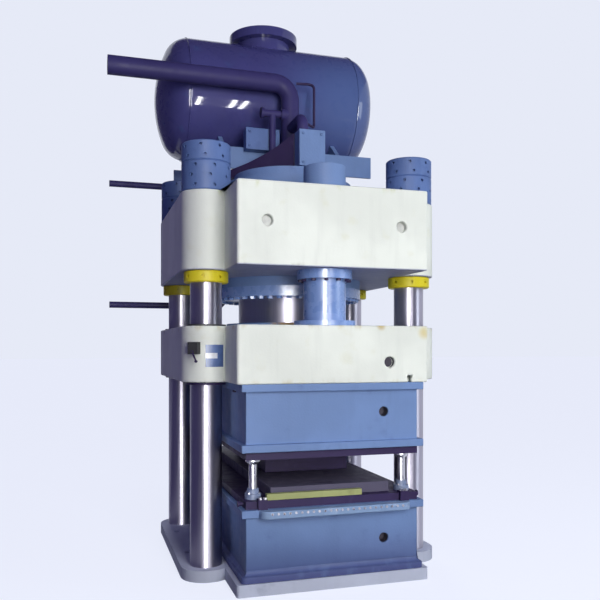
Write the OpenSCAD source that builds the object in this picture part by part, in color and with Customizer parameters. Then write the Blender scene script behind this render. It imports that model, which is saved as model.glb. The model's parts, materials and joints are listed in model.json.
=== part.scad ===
// Four-column down-stroke hydraulic press with a prefill tank on its crown.
// Millimetres, +Z up, origin at the middle of the bed plate's underside, front towards -Y.

/* [Columns] */
// Room between the die boxes' flanges and the columns
column_side_gap = 32; // [26:1:60]
// Column spacing, front to back
column_dy = 1420; // [1380:10:1480]
// Diameter of the polished columns
column_d = 250; // [220:5:260]
// Wall of the round column nuts
nut_wall = 68; // [55:1:80]
// Height of the lower column nut
lower_nut_h = 227; // [180:1:260]
// Height of the upper column nut
upper_nut_h = 153; // [120:1:180]
// Wall of the lock nuts under the crown
lock_nut_wall = 50; // [42:1:60]
// Height of the lock nuts
lock_nut_h = 90; // [60:1:100]
// Diameter of the radial spanner holes in the nuts
spanner_hole_d = 26; // [16:1:34]
// Depth of the spanner holes
spanner_hole_l = 26; // [15:1:32]

/* [Beams] */
// Rim of the column bosses past the nuts
boss_rim = 7; // [5:1:20]
// Overhang of the beams past the die boxes' side flanges
beam_side = 37; // [20:1:45]
// Overhang of the beams past the die boxes' front and rear flanges
beam_front = 8; // [4:1:40]
// Corner radius of the beams' castings
beam_corner_r = 24; // [8:1:40]
// Height of the crown
crown_h = 616; // [560:1:700]
// Height of the slide
slide_h = 433; // [380:1:500]
// Room left over the ram's clamp ring at the top of the travel
travel_room = 19; // [10:1:60]
// Diameter of the lifting holes in the castings
lift_hole_d = 80; // [50:1:90]
// Depth of the lifting holes
lift_hole_l = 50; // [30:1:52]
// Sideways place of the crown's lifting holes
crown_hole_x = 530; // [400:5:620]
// Sideways place of the slide's lifting hole
slide_hole_x = 430; // [300:5:520]
// Sideways place of the T-slot in the slide's underside
t_slot_x = 600; // [560:5:640]

/* [Bed] */
// Thickness of the bed plate
bed_h = 90; // [60:1:150]
// Diameter of the anchor holes
anchor_d = 52; // [30:1:60]
// Distance of the anchor holes from the bed's sides
anchor_edge = 105; // [80:1:140]
// Anchor hole spacing, front to back
anchor_dy = 700; // [500:5:800]

/* [Die boxes] */
// Width of the die boxes' bodies
box_w = 1360; // [1350:5:1380]
// Height of the lower die box
lower_box_h = 528; // [440:1:600]
// Height of the upper die box
upper_box_h = 495; // [420:1:560]
// Thickness of the die boxes' flanges
box_flange_h = 56; // [40:1:70]
// Reach of the flanges past the body
box_flange_reach = 38; // [30:1:50]
// Height of the lower box's flared foot
foot_h = 85; // [60:1:110]
// Wall of the die boxes
box_wall = 90; // [60:1:110]
// Number of cross ribs in each die box
box_ribs = 3; // [2:1:4]
// Diameter of the die boxes' lifting holes
box_hole_d = 74; // [50:1:90]
// Sideways place of the die boxes' lifting holes
box_hole_x = 400; // [250:5:520]
// Reach of the front apron past the lower box's flange
apron_reach = 70; // [66:1:100]
// Distance of the front apron's ends from the lower box's sides
apron_side = 90; // [60:1:150]
// Number of screws in the apron's rim
apron_screw_n = 24; // [12:1:30]

/* [Dies] */
// Thickness of the lower and upper die plates
die_plate_h = 57; // [40:1:80]
// Height of the lower die
lower_die_h = 80; // [70:1:110]
// Room between the lower die and the posts' collars
die_side_room = 64; // [40:1:90]
// Room in front of and behind the lower die
die_end_room = 80; // [65:1:120]
// Height of the upper mould
upper_mould_h = 216; // [180:1:260]
// Width of the upper mould
upper_mould_w = 720; // [600:5:800]
// Front to back length of the upper mould
upper_mould_l = 1150; // [900:5:1400]
// Room between the closed dies
die_gap = 4; // [2:0.5:8]
// Length of the gauge bar
gauge_bar_l = 745; // [600:5:800]
// Side of the gauge bar
gauge_bar_w = 44; // [30:1:50]
// Distance of the stop posts from the plate's sides
post_inset_x = 80; // [70:1:95]
// Distance of the stop posts from the plate's front and rear
post_inset_y = 120; // [110:1:150]
// Diameter of the stop posts' shafts
post_d = 62; // [40:1:70]
// Diameter of the stop posts' caps
post_cap_d = 112; // [96:1:116]

/* [Main cylinder] */
// Diameter of the main ram
ram_d = 900; // [840:5:930]
// Wall of the main cylinder
cyl_wall = 126; // [105:1:140]
// Reach of the main gland past the cylinder
gland_rim = 80; // [65:1:95]
// Height of the main gland
gland_h = 84; // [60:1:90]
// Height of the cylinder's flange under the crown
cyl_flange_h = 80; // [70:1:90]
// Height of the cylinder head above the crown
head_h = 250; // [220:1:280]
// Number of bolts in the main gland
gland_bolt_n = 48; // [24:1:54]
// Thickness of the ram's clamp ring
ram_ring_h = 45; // [35:1:50]
// Reach of the clamp ring past the ram
ram_ring_rim = 110; // [85:1:130]
// Number of screws in the ram's clamp ring
ram_screw_n = 24; // [12:1:30]
// Travel of the slide
stroke = 180; // [100:5:190]

/* [Return cylinders] */
// Gap between the return glands and the main gland
return_gap = 165; // [130:1:200]
// Metal between the return cylinders and the crown's front
return_edge = 66; // [50:1:80]
// Diameter of the return rams
return_ram_d = 330; // [300:5:340]
// Wall of the return cylinders
return_cyl_wall = 41; // [34:1:48]
// Height of the return cylinders' caps above the crown
return_cap_h = 190; // [150:1:230]
// Height of the return glands
return_gland_h = 70; // [50:1:90]
// Number of bolts in each return gland
return_bolt_n = 12; // [8:1:16]
// Reach of the return rams' foot flanges past the rams
return_foot_rim = 75; // [60:1:85]
// Height of the return rams' foot flanges
return_foot_h = 40; // [30:1:50]

/* [Tank] */
// Diameter of the prefill tank
tank_d = 1150; // [1100:10:1180]
// Length of the tank over its dished ends
tank_l = 2170; // [2000:10:2300]
// Sideways place of the tank's middle
tank_x = -45; // [-100:5:60]
// Room between the pressure pipe and the tank
tank_gap = 42.5; // [30:0.5:60]
// Length of the suction spool under the tank
spool_l = 100; // [80:1:140]
// Wall of the tank
tank_wall = 12; // [8:1:20]
// Knuckle radius of the dished ends
knuckle_r = 230; // [180:5:260]
// Inside diameter of the manhole neck
neck_bore = 500; // [400:5:520]
// Reach of the manhole flange past the neck's bore
manhole_rim = 90; // [80:1:110]
// Height of the manhole cover's top above the shell
neck_h = 125; // [110:1:150]
// Number of manhole bolts
manhole_bolt_n = 20; // [12:1:24]
// Length of the bearers that carry the tank
bearer_l = 1780; // [1600:10:1900]
// Height of the bearers
bearer_h = 200; // [160:1:240]

/* [Piping] */
// Diameter of the pressure pipe
pressure_pipe_d = 165; // [130:1:170]
// Reach of the pressure pipe to the left
pressure_pipe_l = 1600; // [1400:10:1700]
// Room between the pilot pipe's cross run and the pressure pipe
pipe_gap = 182.5; // [150:0.5:220]
// Bend radius of the pressure pipe
pressure_bend_r = 150; // [110:5:170]
// Diameter of the pilot pipe
pilot_pipe_d = 58; // [40:1:60]
// Diameter of the return and drain pipes
return_pipe_d = 62; // [45:1:64]
// Reach of the return and drain pipes to the left
return_pipe_l = 1550; // [1400:10:1700]
// Width of the pale valve block
valve_block_w = 236; // [200:2:250]
// Height of the pale valve block
valve_block_h = 318; // [280:2:340]
// Length of the valve bracket's bar
bracket_l = 950; // [850:5:1000]

/* [Hidden] */
$fn = 72;

// Paint and metal colours
cream = [0.88, 0.90, 0.84];
blue = [0.40, 0.50, 0.68];
pale_blue = [0.50, 0.60, 0.76];
nut_blue = [0.34, 0.43, 0.62];
navy = [0.16, 0.17, 0.32];
yellow = [0.85, 0.84, 0.25];
polished = [0.72, 0.73, 0.76];
dark_steel = [0.12, 0.12, 0.15];
bright_steel = [0.62, 0.63, 0.66];
bronze = [0.62, 0.46, 0.22];
seal_black = [0.06, 0.06, 0.06];
bar_green = [0.62, 0.66, 0.42];

// Clearances: still fits, sliding fits, and the room around a ram in its cylinder
fit_gap = 0.2;
run_gap = 0.4;
ram_gap = 4;
// Overlap that keeps a cut or a union clean
eps = 1;

// Cylinder sizes, from the rams outwards
main_cyl_d = ram_d + 2 * (ram_gap + cyl_wall);
gland_d = main_cyl_d + 2 * gland_rim;
ram_ring_d = ram_d + 2 * ram_ring_rim;
gland_bolt_head_h = 22;
return_gland_rim = 5;
return_cyl_d = return_ram_d + 2 * (ram_gap + return_cyl_wall);
return_gland_d = return_cyl_d + 2 * return_gland_rim;
return_foot_d = return_ram_d + 2 * return_foot_rim;
return_y = (gland_d + return_gland_d) / 2 + return_gap;

// Plan sizes: the beams' length covers the return cylinders, the columns go round the die boxes
beam_l = 2 * (return_y + return_edge) + return_cyl_d;
box_l = beam_l - 2 * (box_flange_reach + beam_front);
column_dx = box_w + 2 * (box_flange_reach + column_side_gap) + column_d;
nut_d = column_d + 2 * nut_wall;
lock_nut_d = column_d + 2 * lock_nut_wall;
boss_d = nut_d + 2 * boss_rim;
beam_box_w = box_w + 2 * (box_flange_reach + beam_side);
anchor_dx = column_dx + boss_d - 2 * anchor_edge;

// Heights, stacked from the floor
lower_top = bed_h + lower_box_h;
lower_plate_top = lower_top + die_plate_h;
die_top = lower_plate_top + lower_die_h;
mould_z = die_top + die_gap;
upper_plate_z = mould_z + upper_mould_h;
upper_box_z = upper_plate_z + die_plate_h;
upper_box_top = upper_box_z + upper_box_h;
slide_z = upper_box_top;
slide_top = slide_z + slide_h;
crown_z = slide_top + stroke + travel_room + ram_ring_h + cyl_flange_h + gland_h + gland_bolt_head_h;
crown_top = crown_z + crown_h;
cyl_flange_z = crown_z - cyl_flange_h;
gland_z = cyl_flange_z - gland_h;
head_top = crown_top + head_h;
head_boss_h = 85;
head_boss_top = head_top + head_boss_h;
nut_seam_z = crown_top + lower_nut_h;
nut_top = nut_seam_z + upper_nut_h;

// Column ends and nuts
column_below_nut = 12;
column_chamfer = 10;
column_xy = [for (x = [-1, 1], y = [-1, 1]) [x * column_dx / 2, y * column_dy / 2]];
nut_chamfer = 8;
nut_hole_n = 8;

// Guide bushes in the slide's bosses
bush_t = 24;
bush_l = 150;
bush_bore = column_d + 2 * run_gap;
bush_d = bush_bore + 2 * bush_t;
wiper_h = 14;
wiper_rim = 8;
wiper_d = bush_d + 2 * wiper_rim;
retainer_h = 22;
retainer_rim = 4;
retainer_d = bush_d + 2 * retainer_rim;

// T-slot in the slide
t_slot_neck = 22;
t_slot_head = 40;
t_slot_neck_h = 30;
t_slot_head_h = 22;

// Main cylinder and ram
cyl_bore = ram_d + 2 * ram_gap;
head_wall = 120;
bore_top = head_top - head_wall;
end_room = 40;
ring_nut_h = 70;
ring_nut_rim = 75;
ring_nut_d = main_cyl_d + 2 * ring_nut_rim;
ram_seat = 60;
ram_top = bore_top - stroke - end_room;
packing_t = 32;
packing_h = 50;
gland_bolt_d = 30;
gland_bolt_head_d = 44;
gland_bolt_edge = 40;
gland_bolt_r = gland_d / 2 - gland_bolt_edge;
gland_bolt_grip = 50;
ram_screw_r = (ram_d + ram_ring_d) / 4;
ram_screw_d = 30;

// Return cylinders
return_bore = return_ram_d + 2 * ram_gap;
return_head_wall = 60;
return_ram_top = crown_top - return_head_wall - stroke - end_room;
return_bolt_r = (return_gland_d + return_ram_d) / 4;
return_bolt_head_d = 30;
return_bolt_head_h = 18;
return_packing_t = 20;
return_packing_h = 34;

// Die set details
box_rib = box_wall / 2;
apron_w = box_w - 2 * apron_side;
apron_edge = 8;
apron_corner_r = apron_reach - apron_edge;
apron_screw_d = 18;
apron_screw_h = 7;
post_cap_h = 34;
post_neck_h = 12;
post_room = 1;
post_collar_h = 40;
post_collar_rim = 5;
post_collar_d = post_cap_d + 2 * post_collar_rim;
post_dx = box_w - 2 * post_inset_x;
post_dy = box_l - 2 * post_inset_y;
lower_die_w = post_dx - post_collar_d - 2 * die_side_room;
lower_die_l = box_l - 2 * die_end_room;
post_sleeve_h = 36;
post_sleeve_rim = 12;
post_sleeve_d = post_cap_d - 2 * post_sleeve_rim;
collar_screw_d = 14;
collar_screw_h = 10;
clamp_inset = 120;
clamp_x = box_w / 2 - clamp_inset;
clamp_screw_d = 24;
clamp_screw_h = 15;
bar_gap = 6;
clamp_w = 70;
clamp_lip = 30;
clamp_edge = 2;
clamp_h = 16;
bar_x = clamp_w / 2 + bar_gap - clamp_x;
pin_d = 28;
pin_l = 44;
pin_head_d = 44;
pin_head_h = 10;
mould_step = 40;
box_bolt_head_d = 24;
box_bolt_head_h = 18;

// Pressure pipe over the cylinder head
pressure_x = 36;
pressure_y = 50;
pressure_wall = 14;
pipe_flange_rim = 35;
pipe_flange_d = pressure_pipe_d + 2 * pipe_flange_rim;
pipe_flange_h = 30;

// Tank, its cover and the cradle
shell_r = tank_d / 2;
dish_share = 0.95;
dish_r = dish_share * tank_d;
tank_y = pressure_y + pressure_pipe_d / 2 + tank_gap + shell_r;
manhole_flange_h = 40;
cover_h = 44;
neck_wall = 14;
manhole_rise = shell_r + neck_h;
manhole_d = neck_bore + 2 * manhole_rim;
manhole_bolt_edge = 52;
manhole_bolt_r = manhole_d / 2 - manhole_bolt_edge;
manhole_bolt_d = 20;
manhole_bolt_head_d = 32;
manhole_bolt_head_h = 14;
saddle_t = 40;
saddle_foot_w = 180;
saddle_foot_h = 30;
saddle_nut_room = 32;
saddle_ring_room = 10;
saddle_front_in = 15;
saddle_rear_in = 125;
saddle_wrap = 145;
saddle_horn = 180;
saddle_x = (column_dx - nut_d - saddle_foot_w) / 2 - saddle_nut_room;
saddle_in = saddle_x - saddle_foot_w / 2;
saddle_foot_y = sqrt(max(0, pow(ring_nut_d / 2 + saddle_ring_room, 2) - pow(saddle_in, 2)));
saddle_front_y = tank_y - shell_r + saddle_front_in;
saddle_rear_y = tank_y + shell_r - saddle_rear_in;
bearer_t = 24;
bearer_room = 60;
bearer_z = nut_top + bearer_room;
bearer_top = bearer_z + bearer_h;

// Suction line from the prefill valve up to the tank, which sets the tank's height
suction_d = 200;
suction_bore = 170;
suction_flange_d = 270;
suction_flange_h = 24;
nozzle_h = 25;
valve_x = 150;
valve_room = 5;
valve_y = saddle_front_y + suction_flange_d / 2 + valve_room;
valve_d = 250;
valve_h = 230;
valve_top = head_boss_top + valve_h;
head_boss_rim = 3;
head_boss_d = 2 * (norm([valve_x, valve_y]) + valve_d / 2 + head_boss_rim);
nozzle_back = tank_y - valve_y - suction_flange_d / 2;
nozzle_z = valve_top + spool_l + fit_gap;
tank_z = nozzle_z + suction_flange_h + nozzle_h + sqrt(shell_r * shell_r - nozzle_back * nozzle_back);
saddle_top = tank_z - shell_r + saddle_wrap;
manhole_top = tank_z + manhole_rise;

// Pilot, return and drain lines
pilot_x = -140;
pilot_y = 20;
pilot_wall = 8;
pilot_drop = 284;
pilot_z = tank_z - pilot_drop;
pilot_tee_rim = 3;
pilot_run_d = pilot_pipe_d + 2 * pilot_tee_rim;
pilot_stub_rim = 20;
pilot_stub_d = pilot_pipe_d + 2 * pilot_stub_rim;
pilot_stub_l = 14;
pilot_end_x = pressure_x - pressure_pipe_d / 2 - pilot_stub_l;
pilot_arm_l = 110;
pilot_cap_h = 24;
pressure_z = pilot_z + (pilot_pipe_d + pressure_pipe_d) / 2 + pipe_gap;
return_wall = 7;
return_flange_rim = 25;
return_pipe_lift = 24;
return_pipe_z = nut_top + return_pipe_lift;
return_pipe_y = column_dy / 2 + nut_d / 2 + return_pipe_d;
drain_z = slide_top + stroke + wiper_h + return_pipe_d;
drain_y = column_dy / 2 + lock_nut_d / 2 + return_pipe_d;
drain_bend_r = 90;
drain_in = 375;
drain_turn_x = drain_in - column_dx / 2;

// Bracket, valve block and elbow over the cylinder head
bracket_turn = -41;
bracket_x = 215;
bracket_y = -450;
bracket_bar_h = 26;
bracket_bar_w = 120;
bracket_web_t = 30;
bracket_web_from = 300;
bracket_tail_h = 60;
bracket_sag = 35;
block_depth = 150;
block_in = 30;
block_y = bracket_y + block_in;
block_z = head_boss_top + bracket_bar_h;
block_top = block_z + valve_block_h;
elbow_d = 100;
block_edge = 2;
block_x = pressure_x - elbow_d / 2 - block_edge;
elbow_wall = 10;
elbow_rise = 30;
elbow_bend_r = 90;
elbow_z = block_top + elbow_rise + elbow_bend_r;
branch_l = 150;
branch_y = pressure_y - branch_l;
pilot_block_x = -380;
pilot_block_w = 320;
pilot_block_l = 110;
pilot_block_h = 200;
pilot_block_lap = 40;

// Limit switch and its lever on the near boss
switch_turn = -33;
switch_w = 78;
switch_h = 92;
switch_depth = 60;
switch_share = 0.5;
switch_z = slide_z + switch_share * slide_h;
lever_pin_d = 14;
lever_pin_l = 16;
lever_pin_up = 16;
lever_pin_z = switch_z + lever_pin_up;
lever_hub_d = 26;
lever_t = 8;
lever_w = 12;
lever_l = 78;
lever_lean = 26;
lever_gap = 1;
roller_d = 20;

// A rectangle with round corners
module rounded_rect(w, l, r) {
    square([w, l - 2 * r], center = true);
    square([w - 2 * r, l], center = true);
    for (x = [-1, 1], y = [-1, 1])
        translate([x * (w / 2 - r), y * (l / 2 - r)]) circle(r = r);
}

// Plan of the crossbeams: column bosses, side walls and the long front and rear boxes
module beam_outline() {
    square([column_dx + boss_d, column_dy], center = true);
    for (p = column_xy) translate(p) circle(d = boss_d);
    rounded_rect(beam_box_w, beam_l, beam_corner_r);
}

module tube(od, id, h) {
    difference() {
        cylinder(d = od, h = h);
        translate([0, 0, -eps]) cylinder(d = id, h = h + 2 * eps);
    }
}

// A quarter bend from +X towards +Y about the origin
module bend(r, od, id) {
    rotate_extrude(angle = 90) translate([r, 0]) difference() {
        circle(d = od);
        circle(d = id);
    }
}

module column_bores(d, z, h) {
    for (p = column_xy) translate([p[0], p[1], z]) cylinder(d = d, h = h);
}

// A blind round hole into a front face at y, its mouth towards -Y
module front_hole(x, y, z, d, l) {
    translate([x, y + l, z]) rotate([90, 0, 0]) cylinder(d = d, h = l + eps);
}

module ring_of(n, r, turn = 0) {
    for (i = [0 : n - 1]) rotate(turn + i * 360 / n) translate([r, 0, 0]) children();
}

module hex_head(d, h) {
    cylinder(d = d * 2 / sqrt(3), h = h, $fn = 6);
}

// Round nut with chamfered rims and rows of radial spanner holes
module round_nut(d, h, rows, turn) {
    bore_r = column_d / 2 + fit_gap;
    r = d / 2;
    c = nut_chamfer;
    difference() {
        rotate_extrude()
            polygon([[bore_r, 0], [r - c, 0], [r, c], [r, h - c], [r - c, h], [bore_r, h]]);
        for (row = [1 : rows]) translate([0, 0, h * (row - 0.5) / rows])
            ring_of(nut_hole_n, r - spanner_hole_l, turn + (row % 2) * 10)
                rotate([0, 90, 0]) cylinder(d = spanner_hole_d, h = spanner_hole_l + eps);
    }
}

// Frame: bed, columns, nuts and crown
module bed_plate() {
    color(nut_blue) difference() {
        linear_extrude(bed_h) beam_outline();
        column_bores(column_d + 2 * fit_gap, -eps, bed_h + 2 * eps);
        for (x = [-1, 1], y = [-1, 1])
            translate([x * anchor_dx / 2, y * anchor_dy / 2, -eps])
                cylinder(d = anchor_d, h = bed_h + 2 * eps);
    }
}

module column(p) {
    top = nut_top - column_below_nut;
    color(polished) translate(p) {
        cylinder(d = column_d, h = top - column_chamfer);
        translate([0, 0, top - column_chamfer])
            cylinder(d1 = column_d, d2 = column_d - 2 * column_chamfer, h = column_chamfer);
    }
}

module column_front_left() { column(column_xy[0]); }
module column_rear_left() { column(column_xy[1]); }
module column_front_right() { column(column_xy[2]); }
module column_rear_right() { column(column_xy[3]); }

module lock_nuts() {
    color(yellow) for (p = column_xy)
        translate([p[0], p[1], crown_z - lock_nut_h]) round_nut(lock_nut_d, lock_nut_h, 1, -117);
}

module lower_column_nuts() {
    color(nut_blue) for (p = column_xy)
        translate([p[0], p[1], crown_top]) round_nut(nut_d, lower_nut_h, 3, -90);
}

module upper_column_nuts() {
    color(nut_blue) for (p = column_xy)
        translate([p[0], p[1], nut_seam_z]) round_nut(nut_d, upper_nut_h, 2, -112);
}

module crown() {
    hole_z = crown_z + 0.53 * crown_h;
    color(cream) difference() {
        translate([0, 0, crown_z]) linear_extrude(crown_h) beam_outline();
        column_bores(column_d + 2 * fit_gap, crown_z - eps, crown_h + 2 * eps);
        translate([0, 0, crown_z - eps])
            cylinder(d = main_cyl_d + 2 * fit_gap, h = crown_h + 2 * eps);
        for (y = [-1, 1]) translate([0, y * return_y, crown_z - eps])
            cylinder(d = return_cyl_d + 2 * fit_gap, h = crown_h + 2 * eps);
        for (x = [-1, 1])
            front_hole(x * crown_hole_x, -beam_l / 2, hole_z, lift_hole_d, lift_hole_l);
    }
}

// Main cylinder: a flanged body through the crown, with a closed head and a boss on it
module main_cylinder() {
    color(blue) difference() {
        union() {
            translate([0, 0, cyl_flange_z]) cylinder(d = gland_d, h = cyl_flange_h);
            translate([0, 0, cyl_flange_z]) cylinder(d = main_cyl_d, h = head_top - cyl_flange_z);
            translate([0, 0, head_top - eps]) cylinder(d = head_boss_d, h = head_boss_h + eps);
        }
        translate([0, 0, cyl_flange_z - eps]) cylinder(d = cyl_bore, h = bore_top - cyl_flange_z + eps);
        translate([0, 0, cyl_flange_z - eps]) cylinder(d = ram_d + 2 * packing_t, h = packing_h + eps);
        ring_of(gland_bolt_n, gland_bolt_r) translate([0, 0, cyl_flange_z - eps])
            cylinder(d = gland_bolt_d + 2 * fit_gap, h = gland_bolt_grip + fit_gap + eps);
        translate([valve_x, valve_y, bore_top - eps])
            cylinder(d = suction_bore, h = head_wall + head_boss_h + 2 * eps);
        translate([pressure_x, pressure_y, bore_top - eps])
            cylinder(d = pressure_pipe_d - 2 * pressure_wall, h = head_wall + head_boss_h + 2 * eps);
    }
}

module cylinder_ring_nut() {
    color(blue) translate([0, 0, crown_top]) tube(ring_nut_d, main_cyl_d + 2 * fit_gap, ring_nut_h);
}

module main_packing() {
    color(seal_black) translate([0, 0, cyl_flange_z])
        tube(ram_d + 2 * packing_t - 2 * fit_gap, ram_d + 2 * run_gap, packing_h - fit_gap);
}

module main_gland() {
    color(blue) difference() {
        translate([0, 0, gland_z]) tube(gland_d, ram_d + 2 * run_gap, gland_h);
        ring_of(gland_bolt_n, gland_bolt_r) translate([0, 0, gland_z - eps])
            cylinder(d = gland_bolt_d + 2 * fit_gap, h = gland_h + 2 * eps);
    }
}

module main_gland_bolts() {
    color(blue) ring_of(gland_bolt_n, gland_bolt_r) {
        translate([0, 0, gland_z - gland_bolt_head_h]) hex_head(gland_bolt_head_d, gland_bolt_head_h);
        translate([0, 0, gland_z - eps]) cylinder(d = gland_bolt_d, h = gland_h + gland_bolt_grip + eps);
    }
}

module return_cylinder(y) {
    color(pale_blue) translate([0, y, 0]) difference() {
        union() {
            translate([0, 0, crown_z]) cylinder(d = return_cyl_d, h = crown_h);
            translate([0, 0, crown_top - eps]) cylinder(d = return_ram_d, h = return_cap_h + eps);
        }
        translate([0, 0, crown_z - eps]) cylinder(d = return_bore, h = crown_h - return_head_wall + eps);
        translate([0, 0, crown_z - eps])
            cylinder(d = return_ram_d + 2 * return_packing_t, h = return_packing_h + eps);
    }
}

module return_cylinder_front() { return_cylinder(-return_y); }
module return_cylinder_rear() { return_cylinder(return_y); }

module return_packings() {
    color(seal_black) for (y = [-1, 1]) translate([0, y * return_y, crown_z])
        tube(return_ram_d + 2 * return_packing_t - 2 * fit_gap, return_ram_d + 2 * run_gap,
            return_packing_h - fit_gap);
}

module return_gland(y) {
    color(blue) translate([0, y, crown_z - return_gland_h])
        tube(return_gland_d, return_ram_d + 2 * run_gap, return_gland_h);
}

module return_gland_front() { return_gland(-return_y); }
module return_gland_rear() { return_gland(return_y); }

module return_gland_bolts() {
    color(dark_steel) for (y = [-1, 1])
        translate([0, y * return_y, crown_z - return_gland_h - return_bolt_head_h])
            ring_of(return_bolt_n, return_bolt_r, 180 / return_bolt_n)
                hex_head(return_bolt_head_d, return_bolt_head_h);
}

// Die boxes: flanged castings, their insides split into bays by cross ribs
module box_bays(z, h) {
    bay = (box_l - 2 * box_wall - box_ribs * box_rib) / (box_ribs + 1);
    for (i = [0 : box_ribs])
        translate([-box_w / 2 + box_wall, -box_l / 2 + box_wall + i * (bay + box_rib), z])
            cube([box_w - 2 * box_wall, bay, h]);
}

module box_body(z, h) {
    translate([-box_w / 2, -box_l / 2, z]) cube([box_w, box_l, h]);
}

module box_flange(z) {
    w = box_w + 2 * box_flange_reach;
    l = box_l + 2 * box_flange_reach;
    translate([-w / 2, -l / 2, z]) cube([w, l, box_flange_h]);
}

// Foot of the lower box: an upright edge, then a hollow flare into the wall
module foot_section() {
    difference() {
        square([box_flange_reach, foot_h]);
        translate([box_flange_reach, foot_h]) circle(r = box_flange_reach);
    }
}

module lower_foot() {
    for (turn = [0, 180]) rotate(turn) {
        translate([box_w / 2, box_l / 2, bed_h]) rotate([90, 0, 0])
            linear_extrude(box_l) foot_section();
        translate([-box_w / 2, box_l / 2, bed_h]) rotate([90, 0, 90])
            linear_extrude(box_w) foot_section();
    }
    for (x = [0, 1], y = [0, 1]) mirror([x, 0, 0]) mirror([0, y, 0])
        translate([box_w / 2, box_l / 2, bed_h]) rotate_extrude(angle = 90) foot_section();
}

module lower_box() {
    color(blue) difference() {
        union() {
            box_body(bed_h, lower_box_h);
            box_flange(lower_top - box_flange_h);
            lower_foot();
        }
        box_bays(bed_h + foot_h, lower_box_h - foot_h - box_flange_h);
        front_hole(box_hole_x, -box_l / 2, bed_h + 0.47 * lower_box_h, box_hole_d, box_wall + eps);
    }
}

// Apron: a plate with round corners against the front of the lower box's flange
module front_apron() {
    color(pale_blue) translate([0, -box_l / 2 - box_flange_reach, lower_top - box_flange_h])
        linear_extrude(box_flange_h) intersection() {
            rounded_rect(apron_w, 2 * apron_reach, apron_corner_r);
            translate([-apron_w / 2, -apron_reach]) square([apron_w, apron_reach]);
        }
}

module apron_rim_screws() {
    rim_y = -box_l / 2 - box_flange_reach - apron_reach;
    run = apron_w - 2 * apron_corner_r - 2 * apron_screw_d;
    color(bright_steel) for (i = [0 : apron_screw_n - 1])
        translate([-run / 2 + i * run / (apron_screw_n - 1), rim_y, lower_top - apron_screw_d])
            rotate([90, 0, 0]) cylinder(d = apron_screw_d, h = apron_screw_h);
}

// Die set
module lower_plate() {
    color(dark_steel) box_body(lower_top, die_plate_h);
}

module lower_die() {
    color(dark_steel) translate([-lower_die_w / 2, -lower_die_l / 2, lower_plate_top])
        cube([lower_die_w, lower_die_l, lower_die_h]);
}

module gauge_bar() {
    bar_y = -(box_l + lower_die_l) / 4;
    color(bar_green) translate([bar_x, bar_y - gauge_bar_w / 2, lower_plate_top])
        cube([gauge_bar_l, gauge_bar_w, gauge_bar_w]);
}

module at_posts() {
    for (x = [-1, 1], y = [-1, 1])
        translate([x * post_dx / 2, y * post_dy / 2, lower_plate_top]) children();
}

// Stop post: a turned pillar with a wide cap, a hair short of the upper plate
module stop_posts() {
    h = upper_plate_z - lower_plate_top - post_room;
    shaft_r = post_d / 2;
    cap_r = post_cap_d / 2;
    cap_z = h - post_cap_h;
    color(bright_steel) at_posts() rotate_extrude()
        polygon([[0, 0], [shaft_r, 0], [shaft_r, cap_z - post_neck_h], [cap_r - post_neck_h, cap_z],
            [cap_r, cap_z + post_neck_h], [cap_r, h - post_neck_h / 2],
            [cap_r - post_neck_h / 2, h], [0, h]]);
}

module post_collars() {
    color(nut_blue) at_posts() {
        tube(post_collar_d, post_d + 2 * fit_gap, post_collar_h);
        tube(post_sleeve_d, post_d + 2 * fit_gap, post_collar_h + post_sleeve_h);
    }
}

// Clamps on the lower box's flange that hold the lower plate down
module at_clamps() {
    for (x = [-1, 1], turn = [0, 180])
        rotate(turn) translate([x * clamp_x, -box_l / 2, lower_top]) children();
}

module plate_clamps() {
    heel = box_flange_reach - clamp_edge;
    color(dark_steel) at_clamps() {
        translate([-clamp_w / 2, -heel, 0]) cube([clamp_w, heel - fit_gap, die_plate_h + clamp_h]);
        translate([-clamp_w / 2, -heel, die_plate_h]) cube([clamp_w, heel + clamp_lip, clamp_h]);
    }
}

module die_screws() {
    color(bright_steel) {
        at_posts() ring_of(4, (post_collar_d + post_sleeve_d) / 4, 45)
            translate([0, 0, post_collar_h]) hex_head(collar_screw_d, collar_screw_h);
        at_clamps() for (side = [-1, 1])
            translate([side * clamp_w / 4, -box_flange_reach / 2, die_plate_h + clamp_h])
                hex_head(clamp_screw_d, clamp_screw_h);
    }
}

module lifting_pins() {
    color(dark_steel) for (x = [-1, 1], y = [-1, 1])
        translate([x * box_w / 2, y * (box_l / 2 - 2 * pin_head_d), lower_top + die_plate_h / 2])
            rotate([0, x * 90, 0]) {
                cylinder(d = pin_d, h = pin_l);
                translate([0, 0, pin_l - pin_head_h]) cylinder(d = pin_head_d, h = pin_head_h);
            }
}

// Tank: half section with torispherical ends, turned about the X axis
module tank_section(r, l, dish, knuckle) {
    reach = dish - knuckle;
    out = r - knuckle;
    drop = sqrt(reach * reach - out * out);
    dish_z = l / 2 - dish;
    knuckle_z = dish_z + drop;
    far = 2 * dish / reach;
    for (end = [0, 1]) mirror([0, end]) {
        square([r, knuckle_z]);
        translate([out, knuckle_z]) circle(r = knuckle);
        intersection() {
            translate([0, dish_z]) circle(r = dish);
            polygon([[0, dish_z], [far * out, dish_z + far * drop], [0, dish_z + far * reach]]);
            square(3 * dish);
        }
    }
}

module tank_body(wall) {
    rotate([0, 90, 0]) rotate_extrude()
        tank_section(shell_r - wall, tank_l - 2 * wall, dish_r - wall, knuckle_r - wall);
}

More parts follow.
